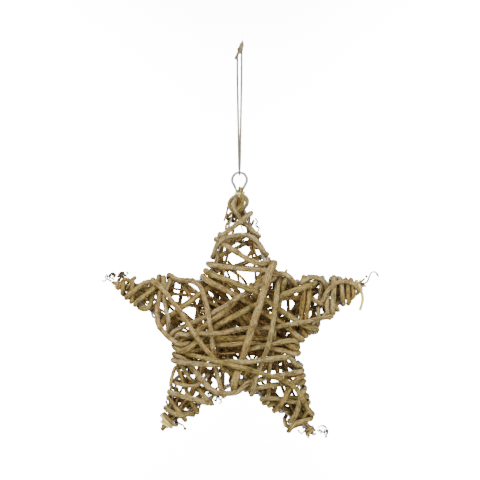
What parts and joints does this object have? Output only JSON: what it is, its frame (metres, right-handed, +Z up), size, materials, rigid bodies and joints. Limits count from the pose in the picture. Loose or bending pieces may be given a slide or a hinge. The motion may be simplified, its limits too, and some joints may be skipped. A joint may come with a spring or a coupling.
{
  "type": "rattan star ornament",
  "caption": "Star ornament of rattan vines wound round a wire frame, with cane bindings at the tips and a jute string through a wire eye for hanging.",
  "frame": {"origin": "where a hook or nail holds the string, inside the top of its loop and just under the knot", "axes": "+Z up along the string, +Y from the star's front to its back, +X to the right seen from the front"},
  "size_m": [0.297, 0.0746, 0.461],
  "materials": {
    "wire": "dull zinc coating",
    "heart": "peeled, orange brown",
    "cane": "pale split cane, satin",
    "bark": "dry tan bark, ridged and matt",
    "jute": "twisted fibre"
  },
  "bodies": {
    "root": {"wire_star_front": "wire", "wire_star_back": "wire", "wire_post_top_right": "wire", "wire_post_right_low": "wire", "wire_post_bottom": "wire", "wire_post_left_low": "wire", "wire_post_top_left": "wire", "hanging_eye": "wire", "core_stick_top": "heart", "core_stick_right": "heart", "core_stick_lower_right": "heart", "core_stick_lower_left": "heart", "core_stick_left": "heart", "tip_binding_top": "cane", "tip_binding_right": "cane", "tip_binding_lower_right": "cane", "tip_binding_lower_left": "cane", "tip_binding_left": "cane", "vine_top_1": "bark", "vine_top_2": "bark", "vine_top_3": "bark", "vine_top_4": "bark", "vine_left_1": "bark", "vine_left_2": "bark", "vine_left_3": "bark", "vine_left_4": "bark", "vine_right_1": "bark", "vine_right_2": "bark", "vine_right_3": "bark", "vine_right_4": "bark", "vine_right_5": "bark", "vine_right_6": "bark", "vine_lower_right_1": "bark", "vine_lower_right_2": "bark", "vine_lower_right_3": "bark", "vine_lower_left_1": "bark", "vine_lower_left_2": "bark", "vine_lower_left_3": "bark", "vine_lower_left_4": "bark", "vine_lower_left_5": "bark", "vine_body_1": "bark", "vine_body_2": "bark", "vine_body_3": "bark", "vine_body_4": "bark", "vine_body_5": "bark", "vine_body_6": "bark", "vine_body_7": "bark", "vine_body_8": "bark", "vine_body_9": "bark", "vine_body_10": "bark", "vine_body_11": "bark", "vine_body_12": "bark", "vine_body_13": "bark", "vine_body_14": "bark", "vine_body_15": "bark", "hanging_string": "jute", "string_knot": "jute", "string_end_long": "jute", "string_end_short": "jute"}
  },
  "joints": []
}
